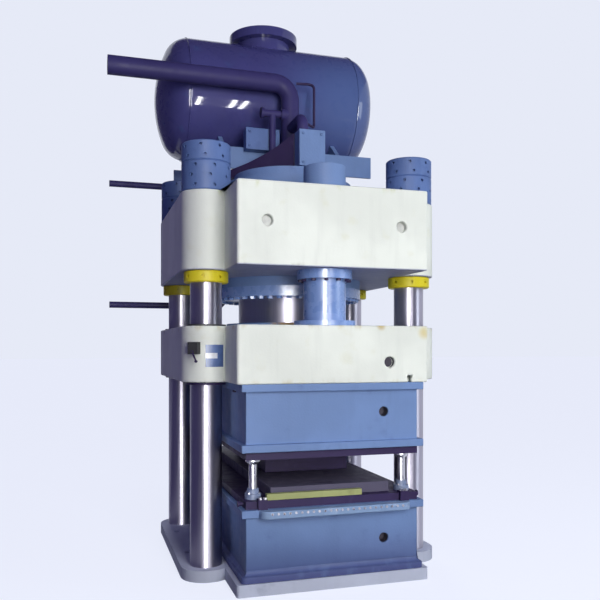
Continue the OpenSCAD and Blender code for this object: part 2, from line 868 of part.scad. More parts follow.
module tank() {
    neck_top = manhole_rise - cover_h;
    color(navy) difference() {
        union() {
            translate([tank_x, tank_y, tank_z]) {
                tank_body(0);
                cylinder(d = neck_bore + 2 * neck_wall, h = neck_top);
                translate([0, 0, neck_top - manhole_flange_h]) cylinder(d = manhole_d, h = manhole_flange_h);
            }
            translate([valve_x, valve_y, nozzle_z]) {
                cylinder(d = suction_d, h = tank_z - nozzle_z);
                cylinder(d = suction_flange_d, h = suction_flange_h);
            }
        }
        translate([tank_x, tank_y, tank_z]) {
            tank_body(tank_wall);
            cylinder(d = neck_bore, h = neck_top + eps);
        }
        translate([valve_x, valve_y, nozzle_z - eps]) cylinder(d = suction_bore, h = tank_z - nozzle_z);
    }
}

module manhole_cover() {
    color(navy) translate([tank_x, tank_y, manhole_top - cover_h]) difference() {
        cylinder(d = manhole_d, h = cover_h);
        ring_of(manhole_bolt_n, manhole_bolt_r) translate([0, 0, -eps])
            cylinder(d = manhole_bolt_d + 2 * fit_gap, h = cover_h + 2 * eps);
    }
}

module manhole_bolts() {
    color(dark_steel) translate([tank_x, tank_y, manhole_top - cover_h])
        ring_of(manhole_bolt_n, manhole_bolt_r) {
            cylinder(d = manhole_bolt_d, h = cover_h + eps);
            translate([0, 0, cover_h]) hex_head(manhole_bolt_head_d, manhole_bolt_head_h);
        }
}

// Cradle: two saddle webs on feet, joined by bearers in front and behind
module tank_cradle() {
    foot_l = saddle_rear_y - saddle_foot_y;
    color(pale_blue) difference() {
        union() {
            for (x = [-1, 1]) {
                translate([x * saddle_x - saddle_t / 2, 0, 0]) rotate([90, 0, 90]) linear_extrude(saddle_t)
                    polygon([[saddle_foot_y, crown_top], [saddle_rear_y, crown_top],
                        [saddle_rear_y, bearer_top], [saddle_rear_y - saddle_horn, saddle_top],
                        [saddle_front_y + saddle_horn, saddle_top], [saddle_front_y, bearer_top],
                        [saddle_front_y, bearer_z], [saddle_foot_y, bearer_z]]);
                translate([x * saddle_x - saddle_foot_w / 2, saddle_foot_y, crown_top])
                    cube([saddle_foot_w, foot_l, saddle_foot_h]);
            }
            for (y = [saddle_front_y - bearer_t, saddle_rear_y])
                translate([-bearer_l / 2, y, bearer_z]) cube([bearer_l, bearer_t, bearer_h]);
        }
        translate([-bearer_l, tank_y, tank_z]) rotate([0, 90, 0])
            cylinder(r = shell_r + fit_gap, h = 2 * bearer_l);
    }
}

module prefill_valve() {
    color(blue) translate([valve_x, valve_y, head_boss_top]) {
        tube(valve_d, suction_bore, valve_h);
        translate([0, 0, valve_h - suction_flange_h]) tube(suction_flange_d, suction_bore, suction_flange_h);
    }
}

module suction_spool() {
    color(navy) translate([valve_x, valve_y, valve_top]) {
        tube(suction_d, suction_bore, spool_l);
        tube(suction_flange_d, suction_bore, suction_flange_h);
        translate([0, 0, spool_l - suction_flange_h])
            tube(suction_flange_d, suction_bore, suction_flange_h);
    }
}

// Pressure pipe: in from the left, down a bend on to the cylinder head, with two branches
module pressure_pipe() {
    bore = pressure_pipe_d - 2 * pressure_wall;
    drop = pressure_z - pressure_bend_r - head_boss_top;
    color(navy) difference() {
        union() {
            translate([pressure_x, pressure_y, head_boss_top]) {
                cylinder(d = pressure_pipe_d, h = drop);
                cylinder(d = pipe_flange_d, h = pipe_flange_h);
            }
            translate([pressure_x, branch_y, elbow_z]) rotate([-90, 0, 0])
                cylinder(d = elbow_d, h = branch_l);
            translate([pilot_end_x, pilot_y, pilot_z]) rotate([0, 90, 0])
                cylinder(d = pilot_stub_d, h = pressure_x - pilot_end_x);
            translate([pressure_x - pressure_bend_r, pressure_y, pressure_z - pressure_bend_r])
                rotate([90, 0, 0]) bend(pressure_bend_r, pressure_pipe_d, bore);
            translate([-pressure_pipe_l, pressure_y, pressure_z]) rotate([0, 90, 0])
                tube(pressure_pipe_d, bore, pressure_pipe_l + pressure_x - pressure_bend_r);
        }
        translate([pressure_x, pressure_y, head_boss_top - eps]) cylinder(d = bore, h = drop + eps);
        translate([pressure_x, branch_y - eps, elbow_z]) rotate([-90, 0, 0])
            cylinder(d = elbow_d - 2 * elbow_wall, h = branch_l);
        translate([pilot_end_x - eps, pilot_y, pilot_z]) rotate([0, 90, 0])
            cylinder(d = pilot_run_d - 2 * pilot_wall, h = pressure_x - pilot_end_x);
    }
}

// Pilot pipe: from the pressure pipe's side branch across to a tee and down to the head
module pilot_pipe() {
    left_x = pilot_x - pilot_arm_l;
    rise = pilot_z - head_boss_top;
    color(navy) difference() {
        union() {
            translate([pilot_x, pilot_y, head_boss_top]) {
                cylinder(d = pilot_pipe_d, h = rise);
                cylinder(d = pilot_stub_d, h = pipe_flange_h);
            }
            translate([left_x, pilot_y, pilot_z]) rotate([0, 90, 0]) {
                cylinder(d = pilot_run_d, h = pilot_end_x - fit_gap - left_x);
                cylinder(d = pilot_stub_d, h = pilot_cap_h);
            }
        }
        translate([pilot_x, pilot_y, head_boss_top - eps])
            cylinder(d = pilot_pipe_d - 2 * pilot_wall, h = rise + eps);
        translate([left_x + pilot_cap_h, pilot_y, pilot_z]) rotate([0, 90, 0])
            cylinder(d = pilot_run_d - 2 * pilot_wall, h = pilot_end_x - left_x);
    }
}

// Return pipe: in from the left to the outside of the left saddle
module return_pipe() {
    bore = return_pipe_d - 2 * return_wall;
    end_x = -saddle_x - saddle_t / 2;
    color(navy) translate([-return_pipe_l, return_pipe_y, return_pipe_z]) rotate([0, 90, 0]) {
        tube(return_pipe_d, bore, return_pipe_l + end_x);
        translate([0, 0, return_pipe_l + end_x - pipe_flange_h])
            tube(return_pipe_d + 2 * return_flange_rim, bore, pipe_flange_h);
    }
}

// Drain pipe: in from the left behind the rear column, then up to the crown's underside
module drain_pipe() {
    bore = return_pipe_d - 2 * return_wall;
    run = return_pipe_l + drain_turn_x;
    color(navy) translate([drain_turn_x, drain_y, drain_z]) {
        rotate([0, -90, 0]) tube(return_pipe_d, bore, run);
        translate([0, 0, drain_bend_r]) rotate([90, 90, 0]) bend(drain_bend_r, return_pipe_d, bore);
        translate([drain_bend_r, 0, drain_bend_r])
            tube(return_pipe_d, bore, crown_z - drain_z - drain_bend_r);
    }
}

module pilot_block() {
    y = saddle_front_y - bearer_t - pilot_block_l;
    color(pale_blue) translate([pilot_block_x, y, bearer_top - pilot_block_lap])
        cube([pilot_block_w, pilot_block_l, pilot_block_h]);
}

// Bracket on the cylinder head: a bar set askew, with a web whose top is a hollow curve
module valve_bracket() {
    web_l = bracket_l - bracket_web_from;
    rise = valve_block_h - bracket_tail_h;
    chord = norm([web_l, rise]);
    curve_r = chord * chord / (8 * bracket_sag) + bracket_sag / 2;
    color(dark_steel) translate([bracket_x, bracket_y, head_boss_top]) rotate(bracket_turn) {
        translate([-bracket_l, -bracket_bar_w / 2, 0]) cube([bracket_l, bracket_bar_w, bracket_bar_h]);
        translate([-bracket_l, bracket_web_t / 2, bracket_bar_h - eps]) rotate([90, 0, 0])
            linear_extrude(bracket_web_t) difference() {
                square([web_l, valve_block_h + eps]);
                translate([0, bracket_tail_h]) rotate(atan2(rise, web_l))
                    translate([chord / 2, curve_r - bracket_sag]) circle(r = curve_r);
            }
    }
}

module valve_block() {
    color(pale_blue) translate([block_x, block_y, block_z])
        cube([valve_block_w, block_depth, valve_block_h]);
}

// Elbow from the top of the valve block back to the pressure pipe's branch
module block_elbow() {
    bore = elbow_d - 2 * elbow_wall;
    y = block_y + block_depth / 2;
    color(navy) translate([pressure_x, y, block_top]) {
        tube(elbow_d, bore, elbow_rise);
        translate([0, elbow_bend_r, elbow_rise]) rotate([90, 0, -90]) bend(elbow_bend_r, elbow_d, bore);
        translate([0, elbow_bend_r, elbow_rise + elbow_bend_r]) rotate([-90, 0, 0])
            tube(elbow_d, bore, branch_y - y - elbow_bend_r);
    }
}

// Moving slide and what it carries
module t_slot() {
    translate([t_slot_x - t_slot_neck / 2, -beam_l / 2 - eps, slide_z - eps])
        cube([t_slot_neck, beam_l + 2 * eps, t_slot_neck_h + 2 * eps]);
    translate([t_slot_x - t_slot_head / 2, -beam_l / 2 - eps, slide_z + t_slot_neck_h])
        cube([t_slot_head, beam_l + 2 * eps, t_slot_head_h]);
}

module slide() {
    color(cream) difference() {
        translate([0, 0, slide_z]) linear_extrude(slide_h) beam_outline();
        column_bores(bush_d + 2 * fit_gap, slide_z - eps, slide_h + 2 * eps);
        translate([0, 0, slide_top - ram_seat]) cylinder(d = ram_d + 2 * fit_gap, h = ram_seat + eps);
        front_hole(slide_hole_x, -beam_l / 2, slide_z + 0.36 * slide_h, lift_hole_d, lift_hole_l);
        t_slot();
    }
}

module guide_bushes() {
    color(bronze) for (p = column_xy, z = [slide_z, slide_top - bush_l])
        translate([p[0], p[1], z]) tube(bush_d, bush_bore, bush_l);
}

module wiper_rings() {
    color(seal_black) for (p = column_xy)
        translate([p[0], p[1], slide_top]) tube(wiper_d, bush_bore, wiper_h);
}

module bush_retainers() {
    color(dark_steel) for (p = column_xy)
        translate([p[0], p[1], slide_z - retainer_h]) tube(retainer_d, bush_bore, retainer_h);
}

module main_ram() {
    color(polished) translate([0, 0, slide_top - ram_seat])
        cylinder(d = ram_d, h = ram_top - slide_top + ram_seat);
}

module ram_clamp_ring() {
    color(blue) difference() {
        translate([0, 0, slide_top]) tube(ram_ring_d, ram_d + 2 * fit_gap, ram_ring_h);
        ring_of(ram_screw_n, ram_screw_r) translate([0, 0, slide_top - eps])
            cylinder(d = ram_screw_d + 2 * fit_gap, h = ram_ring_h + 2 * eps);
    }
}

module ram_ring_screws() {
    color(dark_steel) ring_of(ram_screw_n, ram_screw_r) translate([0, 0, slide_top])
        cylinder(d = ram_screw_d, h = ram_ring_h);
}

module return_ram(y) {
    color(blue) translate([0, y, slide_top]) {
        cylinder(d = return_ram_d, h = return_ram_top - slide_top);
        cylinder(d = return_foot_d, h = return_foot_h);
    }
}

module return_ram_front() { return_ram(-return_y); }
module return_ram_rear() { return_ram(return_y); }

module upper_box() {
    color(blue) difference() {
        union() {
            box_body(upper_box_z, upper_box_h);
            box_flange(upper_box_z);
            box_flange(upper_box_top - box_flange_h);
        }
        box_bays(upper_box_z + box_flange_h, upper_box_h - 2 * box_flange_h);
        front_hole(box_hole_x, -box_l / 2, upper_box_z + 0.55 * upper_box_h, box_hole_d, box_wall + eps);
    }
}

// Bolts up through the side flanges of the upper box into the slide
module upper_box_bolts() {
    z = upper_box_top - box_flange_h - box_bolt_head_h;
    color(dark_steel) for (x = [-1, 1], y = [-1.5 : 1.5])
        translate([x * (box_w + box_flange_reach) / 2, y * box_l / 4, z])
            hex_head(box_bolt_head_d, box_bolt_head_h);
}

module upper_plate() {
    color(dark_steel) box_body(upper_plate_z, die_plate_h);
}

// Upper mould: a stepped block under the upper plate
module upper_mould() {
    color(dark_steel) {
        translate([-upper_mould_w / 2, -upper_mould_l / 2, mould_z])
            cube([upper_mould_w, upper_mould_l, upper_mould_h]);
        translate([0, 0, upper_plate_z - mould_step / 2])
            cube([upper_mould_w + 2 * mould_step, upper_mould_l + 2 * mould_step, mould_step], center = true);
    }
}

// Places a piece on the near boss, turned about the column, outwards towards -Y
module on_near_boss(turn) {
    translate([column_xy[0][0], column_xy[0][1], 0]) rotate(turn) translate([0, -boss_d / 2, 0]) children();
}

module limit_switch() {
    color(seal_black) on_near_boss(switch_turn) {
        difference() {
            translate([-switch_w / 2, -switch_depth, switch_z]) cube([switch_w, 2 * switch_depth, switch_h]);
            translate([0, boss_d / 2, switch_z - eps])
                cylinder(d = boss_d + 2 * fit_gap, h = switch_h + 2 * eps);
        }
        translate([0, -switch_depth + eps, lever_pin_z]) rotate([90, 0, 0])
            cylinder(d = lever_pin_d, h = lever_pin_l + eps);
    }
}

module switch_lever() {
    color(dark_steel) on_near_boss(switch_turn)
        translate([0, -switch_depth - lever_gap, lever_pin_z]) rotate([0, -lever_lean, 0]) rotate([90, 0, 0])
            difference() {
                union() {
                    cylinder(d = lever_hub_d, h = lever_t);
                    translate([-lever_w / 2, -lever_l, 0]) cube([lever_w, lever_l, lever_t]);
                    translate([0, -lever_l, 0]) cylinder(d = roller_d, h = 2 * lever_t);
                }
                translate([0, 0, -eps]) cylinder(d = lever_pin_d + 2 * run_gap, h = lever_t + 2 * eps);
            }
}

bed_plate();
column_front_left();
column_front_right();
column_rear_left();
column_rear_right();
lock_nuts();
lower_column_nuts();
upper_column_nuts();
crown();
main_cylinder();
cylinder_ring_nut();
main_packing();
main_gland();
main_gland_bolts();
return_cylinder_front();
return_cylinder_rear();
return_packings();
return_gland_front();
return_gland_rear();
return_gland_bolts();
lower_box();
front_apron();
apron_rim_screws();
lower_plate();
lower_die();
gauge_bar();
stop_posts();
post_collars();
die_screws();
lifting_pins();
plate_clamps();
tank();
manhole_cover();
manhole_bolts();
tank_cradle();
prefill_valve();
suction_spool();
pressure_pipe();
pilot_pipe();
return_pipe();
drain_pipe();
pilot_block();
valve_bracket();
valve_block();
block_elbow();
slide();
guide_bushes();
wiper_rings();
bush_retainers();
main_ram();
ram_clamp_ring();
ram_ring_screws();
return_ram_front();
return_ram_rear();
upper_box();
upper_box_bolts();
upper_plate();
upper_mould();
limit_switch();
switch_lever();
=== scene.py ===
"""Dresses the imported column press: softened castings, paints, steel, fittings, studio and camera."""

import json
import math
from collections import namedtuple

import bmesh
import bpy
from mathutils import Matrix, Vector

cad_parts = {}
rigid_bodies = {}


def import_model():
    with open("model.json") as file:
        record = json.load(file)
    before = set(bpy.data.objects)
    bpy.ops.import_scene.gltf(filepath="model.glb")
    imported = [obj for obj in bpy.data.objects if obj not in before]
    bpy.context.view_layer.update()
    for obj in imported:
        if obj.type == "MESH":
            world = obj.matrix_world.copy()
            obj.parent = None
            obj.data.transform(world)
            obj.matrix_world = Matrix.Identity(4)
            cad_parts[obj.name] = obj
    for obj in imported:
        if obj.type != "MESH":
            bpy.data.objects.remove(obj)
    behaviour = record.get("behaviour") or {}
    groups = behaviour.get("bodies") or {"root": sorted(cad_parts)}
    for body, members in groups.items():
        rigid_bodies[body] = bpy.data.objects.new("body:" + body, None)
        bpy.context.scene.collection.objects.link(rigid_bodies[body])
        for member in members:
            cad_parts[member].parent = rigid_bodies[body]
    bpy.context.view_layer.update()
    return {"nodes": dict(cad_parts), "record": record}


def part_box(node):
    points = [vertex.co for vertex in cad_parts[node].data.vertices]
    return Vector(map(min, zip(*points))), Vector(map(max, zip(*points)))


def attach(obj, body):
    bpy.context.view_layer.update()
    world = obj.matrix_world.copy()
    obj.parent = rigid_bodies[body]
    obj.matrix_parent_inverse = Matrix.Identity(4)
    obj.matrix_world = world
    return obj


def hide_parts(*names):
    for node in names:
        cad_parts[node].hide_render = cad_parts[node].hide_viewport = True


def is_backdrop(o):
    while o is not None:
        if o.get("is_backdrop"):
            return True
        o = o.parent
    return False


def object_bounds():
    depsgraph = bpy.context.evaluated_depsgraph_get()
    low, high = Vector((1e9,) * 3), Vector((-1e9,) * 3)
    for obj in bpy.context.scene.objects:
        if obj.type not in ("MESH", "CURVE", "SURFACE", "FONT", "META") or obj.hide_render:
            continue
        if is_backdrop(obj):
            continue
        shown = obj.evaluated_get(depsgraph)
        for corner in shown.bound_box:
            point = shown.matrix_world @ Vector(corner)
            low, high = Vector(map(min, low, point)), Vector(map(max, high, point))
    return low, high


for leftover in list(bpy.data.objects):
    bpy.data.objects.remove(leftover)

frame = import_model()
nodes = frame["nodes"]
record = frame["record"]
body_of_node = {node: body for body, held in record["behaviour"]["bodies"].items() for node in held}
slot_of_node = {subpart["node"]: subpart["material_slot"] for subpart in record["subparts"]}
mounts = {mount["name"]: mount for mount in record["mounts"]}
scene = bpy.context.scene

slide_low, slide_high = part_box("slide")
crown_low, crown_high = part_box("crown")
lower_box_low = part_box("lower_box")[0]
ring_low, ring_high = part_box("ram_clamp_ring")
tank_low, tank_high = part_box("tank")


# Colours


def srgb(r, g, b):
    """A colour given as 0 to 255 screen values, as linear RGBA."""

    def linear(v):
        v /= 255
        return v / 12.92 if v <= 0.04045 else ((v + 0.055) / 1.055) ** 2.4

    return (linear(r), linear(g), linear(b), 1)


def shade(colour, k):
    """A colour k times as bright, up to white."""
    return tuple(min(1, c * k) for c in colour[:3]) + (1,)


# Materials

# The colour sockets of a Mix node, which shares the names of its sockets between types
MIX_A, MIX_B, MIX_RESULT = 6, 7, 2

# Ranges of noise values that a ramp spreads over the whole of its result
MIDDLE_RANGE = (0.35, 0.65)
WIDE_RANGE = (0.3, 0.7)

# Uneven tone of a paint
TONE_SCALE = 1.7
DARK_TONE, LIGHT_TONE = 0.93, 1.05

# Streaks that run down a paint
STREAK_SCALE, STREAK_DETAIL = 5.0, 5.0
STREAK_STRETCH = (3, 3, 0.35)
STREAK_RANGE = (0.5, 0.75)
STREAK_AMOUNT, STREAK_TONE = 0.25, 0.8

# Stains, and the patches that break up bands and spots of grime
STAIN_SCALE, STAIN_DETAIL = 6.0, 8.0
STAIN_RANGE = (0.58, 0.78)
PATCH_SCALE, PATCH_DETAIL = 9.0, 9.0
PATCH_STRETCH = (1, 1, 0.5)
BAND_FADE, SPOT_FADE = 0.16, 0.2

# Sheen and cast skin of a paint
SHEEN_SCALE, SHEEN_DETAIL = 14.0, 5.0
SHEEN_SMOOTHER, SHEEN_ROUGHER = 0.06, 0.1
CAST_SCALE, CAST_DETAIL = 70.0, 6.0
CAST_DEPTH = 0.004

# Grain of bare steel, and the mottle of small plain things
GRAIN_DETAIL, GRAIN_DEPTH = 4.0, 0.0008
GRAIN_SMOOTHER, GRAIN_ROUGHER = 0.8, 1.35
QUARTER_TURN = 0.25
MOTTLE_SCALE, MOTTLE_DETAIL, MOTTLE_TONE = 22.0, 5.0, 0.82

# Colour along a level band, which fades out reach metres up and down, and colour round a point,
# full within inner metres and gone at outer. It shows where the noise is above patchy, so 0 is everywhere.
# Bands and spots carry grime and rust, and some carry painted shade and painted light.
Band = namedtuple("Band", "height reach patchy colour amount")
Spot = namedtuple("Spot", "point inner outer patchy colour amount")


class Tree:
    """A material's node tree with a Principled shader, and short calls for the nodes used here."""

    def __init__(self, name, roughness, metallic=0.0):
        self.mat = bpy.data.materials.new(name)
        self.mat.use_nodes = True
        self.tree = self.mat.node_tree
        self.tree.nodes.clear()
        out = self.tree.nodes.new("ShaderNodeOutputMaterial")
        self.bsdf = self.tree.nodes.new("ShaderNodeBsdfPrincipled")
        self.link(self.bsdf.outputs["BSDF"], out.inputs["Surface"])
        self.set("Roughness", roughness)
        self.set("Metallic", metallic)
        self.coords = self.tree.nodes.new("ShaderNodeTexCoord").outputs["Object"]

    def set(self, socket, value):
        self.bsdf.inputs[socket].default_value = value

    def link(self, a, b):
        self.tree.links.new(a, b)

    def noise(self, scale, detail=3.0, stretch=(1, 1, 1)):
        mapping = self.tree.nodes.new("ShaderNodeMapping")
        mapping.inputs["Scale"].default_value = stretch
        self.link(self.coords, mapping.inputs["Vector"])
        node = self.tree.nodes.new("ShaderNodeTexNoise")
        node.inputs["Scale"].default_value = scale
        node.inputs["Detail"].default_value = detail
        self.link(mapping.outputs["Vector"], node.inputs["Vector"])
        return node.outputs["Fac"]

    def ramp(self, value, low, high, to_low=0.0, to_high=1.0):
        node = self.tree.nodes.new("ShaderNodeMapRange")
        node.interpolation_type = "SMOOTHSTEP"
        for key, v in (("From Min", low), ("From Max", high), ("To Min", to_low), ("To Max", to_high)):
            node.inputs[key].default_value = v
        self.link(value, node.inputs["Value"])
        return node.outputs["Result"]

    def times(self, a, b):
        node = self.tree.nodes.new("ShaderNodeMath")
        node.operation = "MULTIPLY"
        for value, socket in ((a, node.inputs[0]), (b, node.inputs[1])):
            if isinstance(value, (int, float)):
                socket.default_value = value
            else:
                self.link(value, socket)
        return node.outputs["Value"]

    def mix(self, factor, a, b):
        node = self.tree.nodes.new("ShaderNodeMix")
        node.data_type = "RGBA"
        self.link(factor, node.inputs["Factor"])
        for value, socket in ((a, node.inputs[MIX_A]), (b, node.inputs[MIX_B])):
            if isinstance(value, tuple):
                socket.default_value = value
            else:
                self.link(value, socket)
        return node.outputs[MIX_RESULT]

    def height(self):
        node = self.tree.nodes.new("ShaderNodeSeparateXYZ")
        self.link(self.coords, node.inputs["Vector"])
        return node.outputs["Z"]

    def near(self, point, inner, outer):
        """1 within inner metres of a point, 0 past outer."""
        away = self.tree.nodes.new("ShaderNodeVectorMath")
        away.operation = "DISTANCE"
        away.inputs[1].default_value = point
        self.link(self.coords, away.inputs[0])
        return self.ramp(away.outputs["Value"], inner, outer, 1, 0)

    def bump(self, height, strength, distance):
        node = self.tree.nodes.new("ShaderNodeBump")
        node.inputs["Strength"].default_value = strength
        node.inputs["Distance"].default_value = distance
        self.link(height, node.inputs["Height"])
        self.link(node.outputs["Normal"], self.bsdf.inputs["Normal"])

    def colour(self, socket):
        self.link(socket, self.bsdf.inputs["Base Color"])

    def roughness(self, socket):
        self.link(socket, self.bsdf.inputs["Roughness"])


def paint(name, colour, roughness, stain, stains, gloss, cast, bands=(), spots=(), coat=None):
    """Brushed enamel: uneven in tone, streaked and stained, with bands and spots of grime, rust, painted
    shade and painted light on it.
    coat is the (weight, roughness) of a clear coat over it."""
    t = Tree(name, roughness)
    t.set("Specular IOR Level", gloss)
    if coat:
        t.set("Coat Weight", coat[0])
        t.set("Coat Roughness", coat[1])
    tone = t.ramp(t.noise(TONE_SCALE), *MIDDLE_RANGE)
    made = t.mix(tone, shade(colour, DARK_TONE), shade(colour, LIGHT_TONE))
    streaks = t.ramp(t.noise(STREAK_SCALE, STREAK_DETAIL, STREAK_STRETCH), *STREAK_RANGE, 0, STREAK_AMOUNT)
    made = t.mix(streaks, made, shade(colour, STREAK_TONE))
    made = t.mix(t.ramp(t.noise(STAIN_SCALE, STAIN_DETAIL), *STAIN_RANGE, 0, stains), made, stain)
    level = t.height()
    patches = t.noise(PATCH_SCALE, PATCH_DETAIL, PATCH_STRETCH)
    for band in bands:
        below = t.ramp(level, band.height - band.reach, band.height, 0, 1)
        above = t.ramp(level, band.height, band.height + band.reach, 1, 0)
        where = t.ramp(patches, band.patchy, band.patchy + BAND_FADE)
        made = t.mix(t.times(t.times(t.times(below, above), where), band.amount), made, band.colour)
    for spot in spots:
        near = t.near(spot.point, spot.inner, spot.outer)
        where = t.ramp(patches, spot.patchy, spot.patchy + SPOT_FADE)
        made = t.mix(t.times(t.times(near, where), spot.amount), made, spot.colour)
    t.colour(made)
    sheen = t.noise(SHEEN_SCALE, SHEEN_DETAIL)
    t.roughness(t.ramp(sheen, *WIDE_RANGE, roughness - SHEEN_SMOOTHER, roughness + SHEEN_ROUGHER))
    t.bump(t.noise(CAST_SCALE, CAST_DETAIL), cast, CAST_DEPTH)
    return t.mat


def steel_tree(name, colour, roughness, grain=(1, 1, 1), scale=40.0, dark=0.75, bump=0.05):
    """Bare metal with a fine grain in its tone and its polish."""
    t = Tree(name, roughness, metallic=1.0)
    grain_noise = t.noise(scale, GRAIN_DETAIL, grain)
    t.colour(t.mix(t.ramp(grain_noise, *MIDDLE_RANGE), shade(colour, dark), colour))
    t.roughness(t.ramp(grain_noise, *WIDE_RANGE, roughness * GRAIN_SMOOTHER, roughness * GRAIN_ROUGHER))
    t.bump(grain_noise, bump, GRAIN_DEPTH)
    return t


def steel(name, colour, roughness, **grain):
    """Bare metal, with nothing to add to its tree."""
    return steel_tree(name, colour, roughness, **grain).mat


def ground_steel(name, colour, roughness, spread):
    """Steel ground round and round, which draws its highlights out along the shaft."""
    t = steel_tree(name, colour, roughness, grain=(30, 30, 0.4), scale=6.0, dark=0.85, bump=0.02)
    tangent = t.tree.nodes.new("ShaderNodeTangent")
    tangent.direction_type = "RADIAL"
    tangent.axis = "Z"
    t.link(tangent.outputs["Tangent"], t.bsdf.inputs["Tangent"])
    t.set("Anisotropic", spread)
    t.set("Anisotropic Rotation", QUARTER_TURN)
    return t.mat


def plain(name, colour, roughness):
    """A small thing of one colour, a little mottled."""
    t = Tree(name, roughness)
    mottle = t.ramp(t.noise(MOTTLE_SCALE, MOTTLE_DETAIL), *MIDDLE_RANGE)
    t.colour(t.mix(mottle, shade(colour, MOTTLE_TONE), colour))
    return t.mat


rust = srgb(188, 172, 104)
# The violet of the painted shade at the foot of the lower box
painted_shade_violet = srgb(64, 64, 116)
slide_rust_at = (0.72, slide_low.y, slide_high.z - 0.05)
slide_drip_at = (0.36, slide_low.y, slide_high.z)
ring_rust_at = ((ring_low.x + ring_high.x) / 2 - 0.14, ring_low.y, ring_high.z)
# Painted light: the right end of the tank turns a lighter blue, where light from the right falls on it.
tank_painted_light_at = (tank_high.x - 0.3, tank_low.y, tank_low.z + 0.55)

MATERIALS = {
    "cream_paint": paint(
        "cream enamel", srgb(234, 238, 226), roughness=0.55,
        stain=srgb(216, 216, 184), stains=0.35, gloss=0.12, cast=0.2,
        bands=(
            Band(height=slide_high.z, reach=0.06, patchy=0.53, colour=rust, amount=0.45),
            Band(height=slide_low.z, reach=0.05, patchy=0.52, colour=rust, amount=0.35),
            Band(height=crown_high.z, reach=0.08, patchy=0.56, colour=srgb(190, 196, 120), amount=0.5),
            Band(height=crown_low.z, reach=0.04, patchy=0.55, colour=srgb(150, 150, 110), amount=0.4),
            # Painted shade: a flat violet-blue darkening over the crown's underside, where the crown shades
            # it.
            Band(height=crown_low.z, reach=0.014, patchy=0, colour=srgb(112, 118, 176), amount=0.75),
        ),
        spots=(
            Spot(slide_rust_at, inner=0.01, outer=0.07, patchy=0.3, colour=srgb(212, 190, 84), amount=0.6),
            Spot(slide_drip_at, inner=0.01, outer=0.05, patchy=0.3, colour=srgb(186, 160, 70), amount=0.7),
        ),
    ),
    "blue_paint": paint(
        "blue enamel", srgb(114, 141, 186), roughness=0.55,
        stain=srgb(86, 104, 152), stains=0.4, gloss=0.15, cast=0.3,
        bands=(
            # Painted shade: the lower box darkens to violet towards its foot.
            Band(height=lower_box_low.z, reach=0.42, patchy=0.1, colour=painted_shade_violet, amount=0.6),
            Band(height=lower_box_low.z, reach=0.12, patchy=0.3, colour=painted_shade_violet, amount=0.6),
        ),
        spots=(
            Spot(ring_rust_at, inner=0.1, outer=0.2, patchy=0.3, colour=srgb(186, 152, 98), amount=0.95),
        ),
    ),
    "pale_blue_paint": paint(
        "pale blue enamel", srgb(114, 140, 184), roughness=0.55,
        stain=srgb(88, 110, 152), stains=0.4, gloss=0.15, cast=0.3,
    ),
    "nut_paint": paint(
        "slate blue enamel", srgb(92, 117, 168), roughness=0.5,
        stain=srgb(66, 82, 128), stains=0.5, gloss=0.2, cast=0.3,
    ),
    "navy_paint": paint(
        "navy enamel", srgb(74, 73, 128), roughness=0.3,
        stain=srgb(70, 90, 140), stains=0.6, gloss=0.05, cast=0.02,
        spots=(
            # Painted light on the tank's right end
            Spot(tank_painted_light_at, inner=0.1, outer=1.05, patchy=0, colour=srgb(92, 118, 168), amount=0.65),
        ),
        coat=(0.6, 0.04),
    ),
    "yellow_paint": paint(
        "yellow enamel", srgb(226, 210, 40), roughness=0.45,
        stain=srgb(170, 150, 60), stains=0.5, gloss=0.15, cast=0.2,
    ),
    "polished_steel": ground_steel("polished steel", (0.54, 0.52, 0.6, 1), roughness=0.46, spread=0.93),
    "bright_steel": steel(
        "turned steel", (0.62, 0.62, 0.65, 1), roughness=0.3,
        grain=(1, 1, 0.2), scale=60.0, dark=0.9, bump=0.01,
    ),
    "dark_steel": paint(
        "oiled steel", srgb(56, 45, 82), roughness=0.5,
        stain=srgb(74, 64, 100), stains=0.6, gloss=0.12, cast=0.2,
    ),
    "bar_paint": paint(
        "bar paint", srgb(168, 174, 116), roughness=0.5,
        stain=srgb(120, 118, 80), stains=0.5, gloss=0.1, cast=0.2,
    ),
    "bronze": steel("bronze", (0.4, 0.25, 0.09, 1), roughness=0.35),
    "seal": plain("seal rubber", (0.012, 0.012, 0.014, 1), roughness=0.6),
    "switch_plastic": plain("switch moulding", (0.015, 0.015, 0.018, 1), roughness=0.45),
}

# Finishes of single pieces, which differ from the rest of their slot
bed_paint = paint(
    "dusty grey primer", srgb(192, 198, 214), roughness=0.6,
    stain=srgb(160, 166, 184), stains=0.7, gloss=0.1, cast=0.3,
)
apron_paint = paint(
    "chipped pale enamel", srgb(134, 160, 194), roughness=0.5,
    stain=srgb(208, 216, 228), stains=0.8, gloss=0.15, cast=0.3,
)
die_scale = paint(
    "die scale", srgb(92, 88, 108), roughness=0.5,
    stain=srgb(52, 44, 72), stains=0.8, gloss=0.1, cast=0.2,
)
collar_paint = paint(
    "worn collar paint", srgb(132, 146, 176), roughness=0.4,
    stain=srgb(96, 108, 146), stains=0.5, gloss=0.4, cast=0.2,
)
oily_blue = paint(
    "oily blue enamel", srgb(122, 152, 206), roughness=0.27,
    stain=srgb(88, 106, 160), stains=0.5, gloss=0.7, cast=0.12,
)
pipe_paint = paint(
    "pipe enamel", srgb(62, 57, 106), roughness=0.5,
    stain=srgb(50, 44, 86), stains=0.5, gloss=0.1, cast=0.05,
)
# Painted shade inside the lifting holes: near-black violet, and a greyer cream in the crown's holes
hole_shade = plain("painted hole shade", (0.022, 0.014, 0.036, 1), roughness=0.5)
crown_hole_shade = plain("painted crown hole shade", srgb(206, 208, 202), roughness=0.6)
plate_blue = plain("bare plate blue", srgb(88, 116, 170), roughness=0.4)
plate_white = plain("bare plate white", srgb(236, 238, 240), roughness=0.4)

